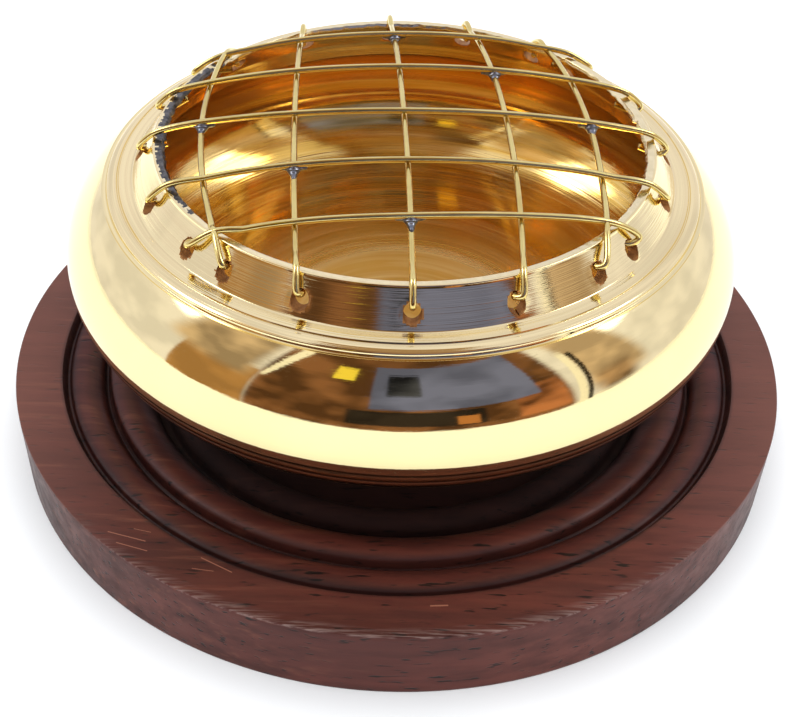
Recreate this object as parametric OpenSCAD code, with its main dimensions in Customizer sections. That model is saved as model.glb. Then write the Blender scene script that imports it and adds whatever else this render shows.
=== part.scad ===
// Table-top incense burner: a turned brass bowl with a wire screen over its mouth,
// standing loose in the recess of a turned hardwood coaster.
// Millimetres. Z is up, the coaster's underside is z = 0, the axis of both is X = Y = 0.

/* [Coaster] */
// Radius of the coaster's underside
coaster_bottom_r = 60;       // [50:0.5:80]
// Radius of the coaster's sharp top edge
coaster_top_r = 60.4;        // [50:0.1:80]
// Thickness of the coaster at its rim
coaster_h = 12;              // [8:0.5:20]
// Radius where the flat rim ends
rim_inner_r = 53.3;          // [48:0.1:58]
// Height of the recess floor the foot stands on
recess_z = 6;                // [4:0.5:9]
// Radius of the recess floor
recess_r = 32;               // [30:0.5:36]

/* [Bowl] */
// Largest radius of the belly
belly_r = 50;                // [40:0.5:60]
// Height of the belly's widest line
belly_z = 33.9;              // [30:0.1:40]
// Depth of the belly below its widest line
belly_drop = 22.2;           // [18:0.1:26]
// Wall thickness of the belly
wall = 3;                    // [2:0.1:5]
// Radius of the foot
foot_r = 21.5;               // [20:0.1:23]
// Depth of the shallow dish turned into the foot
foot_dish = 1.2;             // [0.5:0.1:2]
// Height of the shoulder ledge, where it meets the neck
ledge_z = 46.2;              // [44:0.1:47]
// Fall of the ledge from the neck to its outer edge
ledge_fall = 0.6;            // [0.2:0.1:0.8]
// Outer radius of the shoulder ledge
ledge_r = 43.2;              // [42:0.1:45]

/* [Neck] */
// Outer radius at the bottom of the conical neck
neck_bottom_r = 39.4;        // [38:0.1:41]
// Outer radius at the top of the conical neck
neck_top_r = 36.2;           // [34:0.1:38]
// Height of the neck's lip
neck_top_z = 51;             // [50:0.1:52]
// Thickness of the lip
lip = 1.3;                   // [1:0.1:2]
// Diameter of the drilled wire holes
hole_d = 2.5;                // [2.2:0.1:3]
// Height of the hole centres
hole_z = 48.1;               // [47.8:0.1:48.4]

/* [Screen] */
// Wire diameter
wire_d = 0.9;                // [0.7:0.05:1]
// Height of the screen's crown, on the centre line of the upper wires
crown_z = 56.3;              // [55:0.1:58]
// Radius of the shallow dome the wires follow
dome_r = 182;                // [150:1:240]
// Bend radius where a wire turns down over the lip
lip_bend_r = 4;              // [3.6:0.1:5]
// Steepest slope of a wire outside the neck, in degrees
drop_angle = 62;             // [55:1:70]
// How far outside its hole a wire turns back to hook in
hook_out = 1.2;              // [1:0.1:1.5]
// Bend radius of the hook at each end
hook_r = 0.9;                // [0.8:0.05:1.1]
// Length of the straight tip inside the neck
tip_len = 3.8;               // [2:0.1:4]

/* [Hidden] */
$fn = 120;

// Hole bearings in degrees from +X. Rows are numbered from the back, columns from the left.
row_left = [145, 165, 183, 204, 222];
row_right = [46, 21, 2, -16, -36];
column_front = [-127, -109.5, -87.5, -67, -47];
column_back = [137.5, 117, 95, 76, 57];
// Sideways bow of each wire at its middle, to the left of its run
row_bow = [1, 0.5, -1, -1.2, -2];
column_bow = [4, 1.1, -0.5, -2.4, -3.5];
// Row and column of each soldered crossing
soldered = [[1, 3], [2, 4], [3, 5], [3, 1], [4, 2], [5, 3]];

hole_wall_r = neck_bottom_r - lip / 2
    - (hole_z - ledge_z) / (neck_top_z - ledge_z) * (neck_bottom_r - neck_top_r);
dome_z = crown_z - dome_r;
column_gap = 0.02;
column_dome_r = dome_r - wire_d - column_gap;
hook_turn = 133;
hook_slant = 28;
hook_low_angle = 90 - drop_angle;
hook_top_z = hole_z + hook_r * (sin(hook_low_angle) - sin(hook_low_angle - hook_turn));
bend_slim = 0.02;
bend_overlap = 0.06;
brass = [0.86, 0.68, 0.32];
wood = [0.28, 0.13, 0.10];
solder = [0.55, 0.58, 0.62];

// ---------------------------------------------------------------- helpers

function on_ring(r, a) = [r * cos(a), r * sin(a)];

// Part of an ellipse from angle a0 to a1, as profile points
function ellipse_arc(cr, cz, sr, sz, a0, a1, n) =
    [for (i = [0 : n]) let (a = a0 + (a1 - a0) * i / n) [cr + sr * cos(a), cz + sz * sin(a)]];

function row_ends(i) = [on_ring(hole_wall_r, row_left[i - 1]), on_ring(hole_wall_r, row_right[i - 1])];
function column_ends(j) =
    [on_ring(hole_wall_r, column_front[j - 1]), on_ring(hole_wall_r, column_back[j - 1])];

// Direction of the chord between two plan points, and the direction to its left
function along(ends) = (ends[1] - ends[0]) / norm(ends[1] - ends[0]);
function left_of(ends) = [-along(ends)[1], along(ends)[0]];

// Height of a dome of radius r at (x, y) on the chord's own plan axes
function dome_height(ends, r, x, y) =
    dome_z + sqrt(r * r - x * x - pow(y + (ends[0] + ends[1]) / 2 * left_of(ends), 2));

// A wire falls to the height of its hook outside the neck: the length of that straight piece, and
// how far the lip bend and the straight piece reach outwards
function drop_len(z, fall) =
    (z - lip_bend_r * (cos(fall) - cos(drop_angle)) - hook_top_z) / sin(drop_angle);
function end_reach(z, fall) =
    lip_bend_r * (sin(drop_angle) - sin(fall)) + drop_len(z, fall) * cos(drop_angle);

// Half length of a wire's shallow arc on a dome of radius r, closing in from a first guess
function half_chord(ends) = norm(ends[1] - ends[0]) / 2;
function half_span(ends, r, steps = 4) =
    steps == 0
        ? half_chord(ends) - 2
        : let (e = half_span(ends, r, steps - 1))
          half_chord(ends) + hook_out - end_reach(dome_height(ends, r, e, 0), asin(e / r));

// Heading of a hook, turned from the wire's own heading to within hook_slant of the hole's axis
function hook_heading(ends, bow) =
    let (
        own = -atan(2 * bow / half_chord(ends)),
        hole_axis = atan2((ends[0] + ends[1]) / 2 * left_of(ends), half_chord(ends))
    )
    max(hole_axis - hook_slant, min(hole_axis + hook_slant, own));

// Sideways offset of the ends of a wire's shallow arc from the chord
function end_offset(ends, bow, r) =
    let (
        half = half_span(ends, r),
        reach = half_chord(ends) + hook_out - half
    )
    (2 * reach * bow + hook_out * half * tan(hook_heading(ends, bow))) / (half + 2 * reach);

// Sideways offset of a bowed wire near plan point p
function offset_at(ends, bow, r, p) =
    let (k = (p - (ends[0] + ends[1]) / 2) * along(ends) / half_span(ends, r))
    end_offset(ends, bow, r) * k * k + bow * (1 - k * k);

// Plan point where the lines through e and f cross
function line_crossing(e, f) =
    let (
        u = e[1] - e[0],
        v = f[1] - f[0],
        w = f[0] - e[0]
    )
    e[0] + (w[0] * v[1] - w[1] * v[0]) / (u[0] * v[1] - u[1] * v[0]) * u;

function moved(ends, by) = [ends[0] + by * left_of(ends), ends[1] + by * left_of(ends)];

// Plan point where row e and column f cross, closing in from the crossing of their chords
function crossing(e, e_bow, f, f_bow, steps = 4) =
    steps == 0
        ? line_crossing(e, f)
        : let (p = crossing(e, e_bow, f, f_bow, steps - 1))
          line_crossing(
              moved(e, offset_at(e, e_bow, dome_r, p)),
              moved(f, offset_at(f, f_bow, column_dome_r, p))
          );

// Round bar bent about (cx, cz) in the XZ plane, angles measured from +X towards +Z
module bend(cx, cz, r, a0, a1, d = wire_d)
{
    translate([cx, 0, cz])
        rotate([90, 0, 0])
            rotate_extrude(angle = a1 - a0, start = a0)
                translate([r, 0])
                    circle(d = d, $fn = 24);
}

// A tight bend, a hair thinner and run on at both ends so that it ends inside its neighbours
module tight_bend(cx, cz, r, a0, a1)
{
    run_on = asin(bend_overlap / r);
    bend(cx, cz, r, a0 - run_on, a1 + run_on, wire_d - bend_slim);
}

// Straight round bar in the XZ plane from (x, z), heading a measured from +X towards +Z
module straight(x, z, a, len)
{
    translate([x, 0, z])
        rotate([0, 90 - a, 0])
            cylinder(d = wire_d, h = len, $fn = 24);
}

// End of a wire, from the origin towards +X: over the lip, down outside the neck and hooked
// in through its hole. The wire arrives falling at the angle fall, drops for len, and turns
// sideways by twist into the hook.
module wire_end(fall, len, twist)
{
    over = -lip_bend_r * [sin(fall), cos(fall)];
    drop = over + lip_bend_r * [cos(hook_low_angle), sin(hook_low_angle)];
    drop_end = drop + len * [sin(hook_low_angle), -cos(hook_low_angle)];
    hook = -hook_r * [cos(hook_low_angle), sin(hook_low_angle)];
    last = hook_low_angle - hook_turn;
    tip = hook + hook_r * [cos(last), sin(last)];
    tight_bend(over[0], over[1], lip_bend_r, hook_low_angle, 90 - fall);
    straight(drop[0], drop[1], hook_low_angle - 90, len);
    translate([drop_end[0], 0, drop_end[1]])
        rotate([0, 0, twist])
        {
            tight_bend(hook[0], hook[1], hook_r, last, hook_low_angle);
            straight(tip[0], tip[1], last - 90, tip_len);
        }
}

// Stands its children upright on the chord between the two points in ends
module on_chord(ends)
{
    mid = (ends[0] + ends[1]) / 2;
    translate([mid[0], mid[1], 0])
        rotate([0, 0, atan2(along(ends)[1], along(ends)[0])])
            children();
}

// Sideways and upward rise of a wire's shallow arc from its ends to its middle
function arc_rise(ends, bow, r) = [
    bow - end_offset(ends, bow, r),
    dome_height(ends, r, 0, bow) - dome_height(ends, r, half_span(ends, r), end_offset(ends, bow, r))
];
function arc_radius(half, rise) = (half * half + rise * rise) / (2 * norm(rise));

// The shallow arc of one screen wire, stopping short of its ends by cut
module wire_span(ends, bow, r, cut = 0)
{
    rise = arc_rise(ends, bow, r);
    arc_r = arc_radius(half_span(ends, r), rise);
    half_angle = asin((half_span(ends, r) - cut) / arc_r);
    on_chord(ends)
        translate([0, bow, dome_height(ends, r, 0, bow)])
            rotate([-atan2(rise[0], rise[1]), 0, 0])
                bend(0, -arc_r, arc_r, 90 - half_angle, 90 + half_angle);
}

// One screen wire between the two holes in ends, lying on a dome of radius r
module wire(ends, bow, r)
{
    half = half_span(ends, r);
    rise = arc_rise(ends, bow, r);
    half_angle = asin(half / arc_radius(half, rise));
    slant = sin(half_angle) * rise / norm(rise);
    heading = -atan2(slant[0], cos(half_angle));
    fall = asin(slant[1]);
    end_y = end_offset(ends, bow, r);
    end_z = dome_height(ends, r, half, end_y);
    wire_span(ends, bow, r);
    on_chord(ends)
        for (side = [0, 1])
            mirror([side, 0, 0])
                translate([half, end_y, end_z])
                    rotate([0, 0, heading])
                        wire_end(fall, drop_len(end_z, fall), hook_heading(ends, bow) - heading);
}

// Fillet of solder round the crossing of row i and column j
module solder_fillet(i, j)
{
    row = row_ends(i);
    column = column_ends(j);
    at = crossing(row, row_bow[i - 1], column, column_bow[j - 1]);
    z = dome_z + sqrt(pow(dome_r - wire_d / 2, 2) - at * at);
    difference()
    {
        translate([at[0], at[1], z])
        {
            sphere(r = 0.95, $fn = 36);
            for (side = [0, 180])
                rotate([0, 0, atan2(along(row)[1], along(row)[0]) + side])
                    translate([0, 0, 0.35])
                        rotate([0, 92, 0])
                            cylinder(r1 = 0.75, r2 = 0.56, h = 1.5, $fn = 36);
            rotate([0, 0, atan2(along(column)[1], along(column)[0]) + 180])
                translate([0, 0, -0.4])
                    rotate([0, 92, 0])
                        cylinder(r1 = 0.8, r2 = 0.56, h = 1.7, $fn = 36);
        }
        wire_span(row, row_bow[i - 1], dome_r, 1);
        wire_span(column, column_bow[j - 1], column_dome_r, 1);
    }
}

// ---------------------------------------------------------------- pieces

module coaster()
{
    color(wood)
        rotate_extrude($fn = 180)
            polygon(concat(
                [[0, 0], [coaster_bottom_r - 0.4, 0], [coaster_bottom_r, 0.4]],
                [[coaster_top_r, coaster_h - 0.15], [coaster_top_r - 0.15, coaster_h]],
                // flat rim and the narrow quirk inside it
                [[rim_inner_r, coaster_h], [52.9, 11.2], [52.6, 10.6], [52.2, 10.6], [52, 11]],
                // outer roll
                ellipse_arc(50.4, 11, 1.6, 0.6, 0, 90, 5),
                ellipse_arc(50.4, 9.2, 3.6, 2.4, 100, 180, 8),
                // second roll
                [[46.5, 9.1], [46.05, 9.4], [45.95, 10.6]],
                ellipse_arc(44.2, 10.6, 1.75, 0.9, 20, 90, 5),
                ellipse_arc(44.2, 7.2, 4.6, 4.3, 98, 180, 10),
                [[39.4, 6.6], [38.9, 6.4], [38.2, 6.6]],
                // inner ridge
                ellipse_arc(35.7, 7.4, 2.2, 2.3, 0, 180, 12),
                [[33.2, 6.6], [recess_r + 0.6, recess_z], [0, recess_z]]
            ));
}

module bowl_profile()
{
    edge_z = ledge_z - ledge_fall;
    polygon(concat(
        // underside of the foot
        [[0, recess_z + foot_dish], [foot_r - 4, recess_z + foot_dish], [foot_r - 3, recess_z]],
        [[foot_r - 0.3, recess_z], [foot_r, recess_z + 0.3]],
        [[foot_r, recess_z + 2], [foot_r - 0.4, recess_z + 2.5]],
        [[foot_r - 0.6, recess_z + 4], [foot_r, recess_z + 5.6], [foot_r + 0.9, recess_z + 6.9]],
        // belly below and above its widest line
        ellipse_arc(3.2, belly_z, belly_r - 3.2, belly_drop, -64, 0, 14),
        ellipse_arc(20, belly_z, belly_r - 20, 18.6, 4, 37, 7),
        // small step at the edge of the ledge
        [[ledge_r + 0.65, edge_z - 0.5], [ledge_r + 0.15, edge_z - 0.48]],
        [[ledge_r, edge_z - 0.15], [ledge_r - 0.2, edge_z]],
        // ledge, neck and lip
        [[neck_bottom_r + 0.25, ledge_z], [neck_bottom_r - 0.05, ledge_z + 0.15]],
        [[neck_top_r, neck_top_z - 0.1], [neck_top_r - 0.1, neck_top_z]],
        [[neck_top_r - lip + 0.25, neck_top_z], [neck_top_r - lip, neck_top_z - 0.3]],
        // inside, from the neck down to the floor
        [[neck_bottom_r - lip, ledge_z - 0.1]],
        ellipse_arc(20, belly_z, belly_r - 20 - wall, 13.5, 46, 0, 8),
        ellipse_arc(3.2, belly_z, belly_r - 3.2 - wall, belly_drop - wall, -6, -90, 14),
        [[0, belly_z - belly_drop + wall]]
    ));
}

module neck_hole(bearing)
{
    rotate([0, 0, bearing])
        translate([hole_wall_r, 0, hole_z])
            rotate([0, 90, 0])
                cylinder(d = hole_d, h = 5, center = true, $fn = 48);
}

module bowl()
{
    color(brass)
        difference()
        {
            rotate_extrude($fn = 180)
                bowl_profile();
            for (bearing = concat(row_left, row_right, column_front, column_back))
                neck_hole(bearing);
        }
}

module row_wire(i)
{
    color(brass)
        wire(row_ends(i), row_bow[i - 1], dome_r);
}

module column_wire(j)
{
    color(brass)
        wire(column_ends(j), column_bow[j - 1], column_dome_r);
}

module solder_joint(k)
{
    color(solder)
        solder_fillet(soldered[k - 1][0], soldered[k - 1][1]);
}

coaster();
bowl();
row_wire(1);  // row_wire_1
row_wire(2);  // row_wire_2
row_wire(3);  // row_wire_3
row_wire(4);  // row_wire_4
row_wire(5);  // row_wire_5
column_wire(1);  // column_wire_1
column_wire(2);  // column_wire_2
column_wire(3);  // column_wire_3
column_wire(4);  // column_wire_4
column_wire(5);  // column_wire_5
solder_joint(1);  // solder_joint_1
solder_joint(2);  // solder_joint_2
solder_joint(3);  // solder_joint_3
solder_joint(4);  // solder_joint_4
solder_joint(5);  // solder_joint_5
solder_joint(6);  // solder_joint_6
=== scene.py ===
"""Table-top brass incense burner with a hand-made wire screen, on a turned hardwood coaster."""

import math
import random

import bmesh
import bpy
from mathutils import Matrix, Vector, noise


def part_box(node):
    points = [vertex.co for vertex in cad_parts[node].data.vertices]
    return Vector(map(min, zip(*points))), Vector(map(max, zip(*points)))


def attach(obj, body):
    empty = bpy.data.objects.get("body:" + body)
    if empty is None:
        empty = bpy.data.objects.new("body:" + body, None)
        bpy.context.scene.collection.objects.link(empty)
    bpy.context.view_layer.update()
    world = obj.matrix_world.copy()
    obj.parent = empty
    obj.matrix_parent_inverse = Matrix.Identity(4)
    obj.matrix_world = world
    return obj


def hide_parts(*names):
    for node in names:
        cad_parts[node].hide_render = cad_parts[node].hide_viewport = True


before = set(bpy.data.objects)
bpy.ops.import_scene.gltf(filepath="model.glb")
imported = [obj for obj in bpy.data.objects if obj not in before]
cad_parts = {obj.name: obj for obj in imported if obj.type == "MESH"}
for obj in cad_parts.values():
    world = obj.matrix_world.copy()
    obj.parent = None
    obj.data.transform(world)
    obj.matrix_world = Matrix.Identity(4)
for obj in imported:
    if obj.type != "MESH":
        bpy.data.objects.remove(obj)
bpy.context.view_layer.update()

MM = 0.001
TURN = 2 * math.pi

# ---------------------------------------------------------------- sizes, in millimetres

# Heights are above the floor. The coaster's and the bowl's outer sizes are read from the CAD.
COASTER_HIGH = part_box("coaster")[1] / MM
BOWL_LOW, BOWL_HIGH = (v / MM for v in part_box("bowl"))
COASTER_R = COASTER_HIGH.x
COASTER_H = COASTER_HIGH.z
RECESS_Z = BOWL_LOW.z
BELLY_R = BOWL_HIGH.x
LIP_Z = BOWL_HIGH.z
BELLY_Z = 33.9          # height of the widest place
BELLY_DROP = 22.2       # from there to the bottom of the belly's curve
BELLY_RISE = 18.6       # from there to the top of the shoulder's curve
BELLY_AXIS_R = 3.2      # radius about which the lower curve turns
SHOULDER_AXIS_R = 20.0  # radius about which the shoulder's curve turns
WALL = 3.0
FOOT_R = 21.5
LEDGE_Z = 46.2
LEDGE_FALL = 0.6
LEDGE_R = 43.2
NECK_LOW_R = 39.4
NECK_TOP_R = 36.2
LIP = 1.3               # thickness of the neck's wall
HOLE_R = 1.25
HOLE_Z = 48.1
WIRE_R = 0.45
WIRE_GAP = 0.02         # between a row and the column under it
CROWN_Z = 56.3          # top of the dome on which the screen lies
DOME_R = 182.0
ROW_SETBACK = 7         # from a hole to the end of a row's arc
COLUMN_SETBACK = 5
WIRE_SHARP_DEG = 60
SHARP_DEG = 35          # edges sharper than this stay sharp in the shading
COASTER_SEGMENTS = 480
BOWL_SEGMENTS = 540

# Hole bearings in degrees from +X. Rows are numbered from the back, columns from the left.
ROW_LEFT = [145, 165, 183, 204, 222]
ROW_RIGHT = [46, 21, 2, -16, -36]
COLUMN_FRONT = [-127, -109.5, -87.5, -67, -47]
COLUMN_BACK = [137.5, 117, 95, 76, 57]
# Sideways bow of each wire at its middle, to the left of its run
ROW_BOW = [2.2, 0.6, -0.7, 0.3, -0.9]
COLUMN_BOW = [3.6, 0.8, -0.5, -1.9, -2.9]
# How far the start and the end of each wire lie beside their holes, to the left of its run
ROW_SHIFT = [(-1.2, -1.3), (-0.5, 0.3), (-0.6, 0.3), (-0.9, -1.2), (-1.5, 0.5)]
COLUMN_SHIFT = [(0.8, 0), (0.6, 0), (0, 0), (-1, 0), (-1.2, 0)]
# Row and column of each soldered crossing
SOLDERED = [(1, 3), (2, 4), (3, 5), (3, 1), (4, 2), (5, 3)]

# Radius of the middle of the neck's wall at the height of the holes
HOLE_WALL_R = NECK_LOW_R - LIP / 2 - (HOLE_Z - LEDGE_Z) / (LIP_Z - LEDGE_Z) * (NECK_LOW_R - NECK_TOP_R)
BEARINGS = ROW_LEFT + ROW_RIGHT + COLUMN_FRONT + COLUMN_BACK

# The bowl's materials, in the order in which main() hands them over
POLISHED, TURNED, FILED, INSIDE, FILED_GREY, DRILLED = range(6)


# ---------------------------------------------------------------- mesh helpers


def mesh_object(name, points, faces, face_materials, materials, sharp_deg=SHARP_DEG):
    """A smooth-shaded mesh object from points in millimetres."""
    mesh = bpy.data.meshes.new(name)
    mesh.from_pydata([Vector(p) * MM for p in points], [], faces)
    for material in materials:
        mesh.materials.append(material)
    mesh.polygons.foreach_set("material_index", face_materials)
    finish_shading(mesh, sharp_deg)
    piece = bpy.data.objects.new(name, mesh)
    bpy.context.scene.collection.objects.link(piece)
    return piece


def finish_shading(mesh, sharp_deg):
    """Smooth shading, with the edges sharper than sharp_deg kept sharp."""
    mesh.validate()
    mesh.polygons.foreach_set("use_smooth", [True] * len(mesh.polygons))
    mesh.set_sharp_from_angle(angle=math.radians(sharp_deg))
    mesh.update()


def with_modifiers_applied(piece):
    """Replaces the piece's mesh by its evaluated mesh and drops the modifiers."""
    graph = bpy.context.evaluated_depsgraph_get()
    baked = bpy.data.meshes.new_from_object(piece.evaluated_get(graph))
    baked.name = piece.name
    piece.modifiers.clear()
    piece.data = baked


def ellipse(cr, cz, sr, sz, a0, a1, n):
    """Points of an elliptical arc in a profile, from angle a0 to a1 in degrees."""
    steps = [math.radians(a0 + (a1 - a0) * i / n) for i in range(n + 1)]
    return [(cr + sr * math.cos(a), cz + sz * math.sin(a)) for a in steps]


def line(a, b, n):
    """Points from a to b, without b."""
    return [(a[0] + (b[0] - a[0]) * i / n, a[1] + (b[1] - a[1]) * i / n) for i in range(n)]


def rounded(points, radius, n=4):
    """The polyline with each inner corner replaced by a small arc."""
    out = [points[0]]
    for before, corner, after in zip(points, points[1:], points[2:]):
        p, c, q = Vector(before), Vector(corner), Vector(after)
        reach = min(radius, (p - c).length * 0.45, (q - c).length * 0.45)
        start = c + (p - c).normalized() * reach
        end = c + (q - c).normalized() * reach
        for i in range(n + 1):
            t = i / n
            out.append(tuple(start * (1 - t) ** 2 + c * 2 * t * (1 - t) + end * t * t))
    out.append(points[-1])
    return out


def turned(name, zones, segments, materials, wobble, sharp_deg=SHARP_DEG):
    """A closed turned solid. zones is a list of (material index, profile points); each zone starts
    where the last one ends, and the whole profile starts and ends on the axis. wobble gives how far
    a point at (radius, height, angle, zone) is moved out and up."""
    profile, indices = [], []
    for index, points in zones:
        for point in points:
            if profile and (Vector(profile[-1]) - Vector(point)).length < 1e-4:
                continue
            profile.append(point)
            indices.append(index)
    points, faces, face_materials = [], [], []
    rings = profile[1:-1]
    for k, (r, z) in enumerate(rings):
        for s in range(segments):
            a = TURN * s / segments
            dr, dz = wobble(r, z, a, indices[k + 1])
            points.append(((r + dr) * math.cos(a), (r + dr) * math.sin(a), z + dz))
    for k in range(len(rings) - 1):
        for s in range(segments):
            t = (s + 1) % segments
            faces.append((k * segments + s, k * segments + t, (k + 1) * segments + t, (k + 1) * segments + s))
            face_materials.append(indices[k + 2])
    for pole, ring, flip in ((profile[0], 0, True), (profile[-1], len(rings) - 1, False)):
        points.append((0, 0, pole[1]))
        tip = len(points) - 1
        for s in range(segments):
            pair = (ring * segments + s, ring * segments + (s + 1) % segments)
            faces.append((pair[1], pair[0], tip) if flip else (pair[0], pair[1], tip))
            face_materials.append(indices[1] if flip else indices[-1])
    return mesh_object(name, points, faces, face_materials, materials, sharp_deg)


def spline(knots, steps):
    """Points of the smooth curve from the second knot to the last but one, without the second."""
    out = []
    for a, b, c, d in zip(knots, knots[1:], knots[2:], knots[3:]):
        t0, t1 = 0.0, math.sqrt((b - a).length)
        t2 = t1 + math.sqrt((c - b).length)
        t3 = t2 + math.sqrt((d - c).length)
        for i in range(1, steps + 1):
            t = t1 + (t2 - t1) * i / steps
            ab = a * ((t1 - t) / (t1 - t0)) + b * ((t - t0) / (t1 - t0))
            bc = b * ((t2 - t) / (t2 - t1)) + c * ((t - t1) / (t2 - t1))
            cd = c * ((t3 - t) / (t3 - t2)) + d * ((t - t2) / (t3 - t2))
            abc = ab * ((t2 - t) / (t2 - t0)) + bc * ((t - t0) / (t2 - t0))
            bcd = bc * ((t3 - t) / (t3 - t1)) + cd * ((t - t1) / (t3 - t1))
            out.append(abc * ((t2 - t) / (t2 - t1)) + bcd * ((t - t1) / (t2 - t1)))
    return out


def tube(path, radius, sides=14):
    """Points and faces of a round bar along a path, with slightly domed ends."""
    tangents = []
    for i in range(len(path)):
        tangents.append((path[min(i + 1, len(path) - 1)] - path[max(i - 1, 0)]).normalized())
    side = tangents[0].orthogonal().normalized()
    points, faces = [], []
    for i, (p, t) in enumerate(zip(path, tangents)):
        side = (side - t * side.dot(t)).normalized()
        other = t.cross(side)
        for s in range(sides):
            a = TURN * s / sides
            points.append(p + (side * math.cos(a) + other * math.sin(a)) * radius)
    for i in range(len(path) - 1):
        for s in range(sides):
            t = (s + 1) % sides
            faces.append((i * sides + s, i * sides + t, (i + 1) * sides + t, (i + 1) * sides + s))
    for end, inward, flip in ((0, tangents[0], True), (len(path) - 1, -tangents[-1], False)):
        points.append(path[end] - inward * radius * 0.35)
        tip = len(points) - 1
        for s in range(sides):
            pair = (end * sides + s, end * sides + (s + 1) % sides)
            faces.append((pair[1], pair[0], tip) if flip else (pair[0], pair[1], tip))
    return points, faces


# ---------------------------------------------------------------- materials


class Nodes:
    """A few shorthands for building a node material."""

    def __init__(self, name):
        self.material = bpy.data.materials.new(name)
        self.material.use_nodes = True
        self.tree = self.material.node_tree
        self.shader = self.tree.nodes["Principled BSDF"]
        self.place = self.add("ShaderNodeTexCoord").outputs["Object"]

    def add(self, kind, **settings):
        node = self.tree.nodes.new(kind)
        for key, value in settings.items():
            setattr(node, key, value)
        return node

    def put(self, target, value):
        if isinstance(value, bpy.types.NodeSocket):
            self.tree.links.new(value, target)
        else:
            target.default_value = value

    def math(self, operation, a, b=0.0):
        node = self.add("ShaderNodeMath", operation=operation)
        self.put(node.inputs[0], a)
        self.put(node.inputs[1], b)
        return node.outputs[0]

    def scaled(self, vector, scale, offset=(0, 0, 0)):
        node = self.add("ShaderNodeMapping")
        self.put(node.inputs["Vector"], vector)
        node.inputs["Scale"].default_value = scale
        node.inputs["Location"].default_value = offset
        return node.outputs[0]

    def split(self, vector):
        node = self.add("ShaderNodeSeparateXYZ")
        self.put(node.inputs[0], vector)
        return node.outputs

    def join(self, x, y, z):
        node = self.add("ShaderNodeCombineXYZ")
        for target, value in zip(node.inputs, (x, y, z)):
            self.put(target, value)
        return node.outputs[0]

    def radius(self):
        """Distance from the turning axis."""
        x, y, _ = self.split(self.place)
        return self.math("SQRT", self.math("ADD", self.math("MULTIPLY", x, x), self.math("MULTIPLY", y, y)))

    def noise(self, vector, scale, detail=4.0, roughness=0.55):
        node = self.add("ShaderNodeTexNoise")
        self.put(node.inputs["Vector"], vector)
        node.inputs["Scale"].default_value = scale
        node.inputs["Detail"].default_value = detail
        node.inputs["Roughness"].default_value = roughness
        return node.outputs["Fac"]

    def ramp(self, value, stops):
        node = self.add("ShaderNodeValToRGB")
        self.put(node.inputs[0], value)
        elements = node.color_ramp.elements
        while len(elements) < len(stops):
            elements.new(0.5)
        for element, (position, colour) in zip(elements, stops):
            element.position = position
            grey = not hasattr(colour, "__len__")
            element.color = (colour, colour, colour, 1) if grey else (*colour, 1)
        return node.outputs[0]

    def mix(self, factor, a, b, blend="MIX"):
        node = self.add("ShaderNodeMix", data_type="RGBA", blend_type=blend)
        self.put(node.inputs[0], factor)
        for target, value in ((node.inputs[6], a), (node.inputs[7], b)):
            if isinstance(value, tuple) and len(value) == 3:
                value = (*value, 1)
            self.put(target, value)
        return node.outputs[2]

    def bump(self, height, strength, distance_mm, normal=None):
        node = self.add("ShaderNodeBump")
        self.put(node.inputs["Height"], height)
        node.inputs["Strength"].default_value = strength
        node.inputs["Distance"].default_value = distance_mm * MM
        if normal is not None:
            self.put(node.inputs["Normal"], normal)
        return node.outputs[0]

    def stroke(self, start, end, width):
        """1 on a straight scratch between two plan points in millimetres, else 0."""
        a, b = Vector(start) * MM, Vector(end) * MM
        u = (b - a).normalized()
        x, y, _ = self.split(self.place)
        x, y = self.math("SUBTRACT", x, a.x), self.math("SUBTRACT", y, a.y)
        run = self.math("ADD", self.math("MULTIPLY", x, u.x), self.math("MULTIPLY", y, u.y))
        off = self.math("SUBTRACT", self.math("MULTIPLY", x, u.y), self.math("MULTIPLY", y, u.x))
        mid = (b - a).length / 2
        ends = self.math("LESS_THAN", self.math("ABSOLUTE", self.math("SUBTRACT", run, mid)), mid)
        return self.math("MULTIPLY", ends, self.math("LESS_THAN", self.math("ABSOLUTE", off), width * MM / 2))

    def set(self, **values):
        """Sets the shader's inputs, with underscores for the spaces in their names."""
        for key, value in values.items():
            self.put(self.shader.inputs[key.replace("_", " ")], value)
        return self.material


def turning_lines(nodes, along, per_mm, wander=0.01, detail=2.0):
    """Fine lines round the axis: noise that changes along the profile and hardly round it."""
    x, y, _ = nodes.split(nodes.place)
    vector = nodes.join(
        nodes.math("MULTIPLY", along, per_mm / MM),
        nodes.math("MULTIPLY", x, wander / MM),
        nodes.math("MULTIPLY", y, wander / MM),
    )
    return nodes.noise(vector, 1.0, detail, 0.55)


def brass_polished():
    """The polished outside of the belly."""
    nodes = Nodes("polished_brass")
    cloud = nodes.noise(nodes.place, 60, 3)
    tint = nodes.ramp(cloud, [(0.3, (0.93, 0.79, 0.42)), (0.7, (0.89, 0.745, 0.39))])
    scratch = nodes.noise(nodes.scaled(nodes.place, (1, 1, 9), (0.1, 0, 0)), 900, 3, 0.7)
    dull = nodes.ramp(scratch, [(0.55, 0.045), (0.75, 0.13)])
    wave = nodes.noise(nodes.scaled(nodes.place, (1, 1, 2.5)), 90, 2)
    _, _, z = nodes.split(nodes.place)
    brushed = turning_lines(nodes, nodes.math("SUBTRACT", z, nodes.radius()), 2.2)
    bump = nodes.bump(wave, 0.3, 0.05)
    bump = nodes.bump(brushed, 0.10, 0.03, bump)
    bump = nodes.bump(scratch, 0.05, 0.02, bump)
    return nodes.set(Base_Color=tint, Metallic=1.0, Roughness=dull, Normal=bump)


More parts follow.
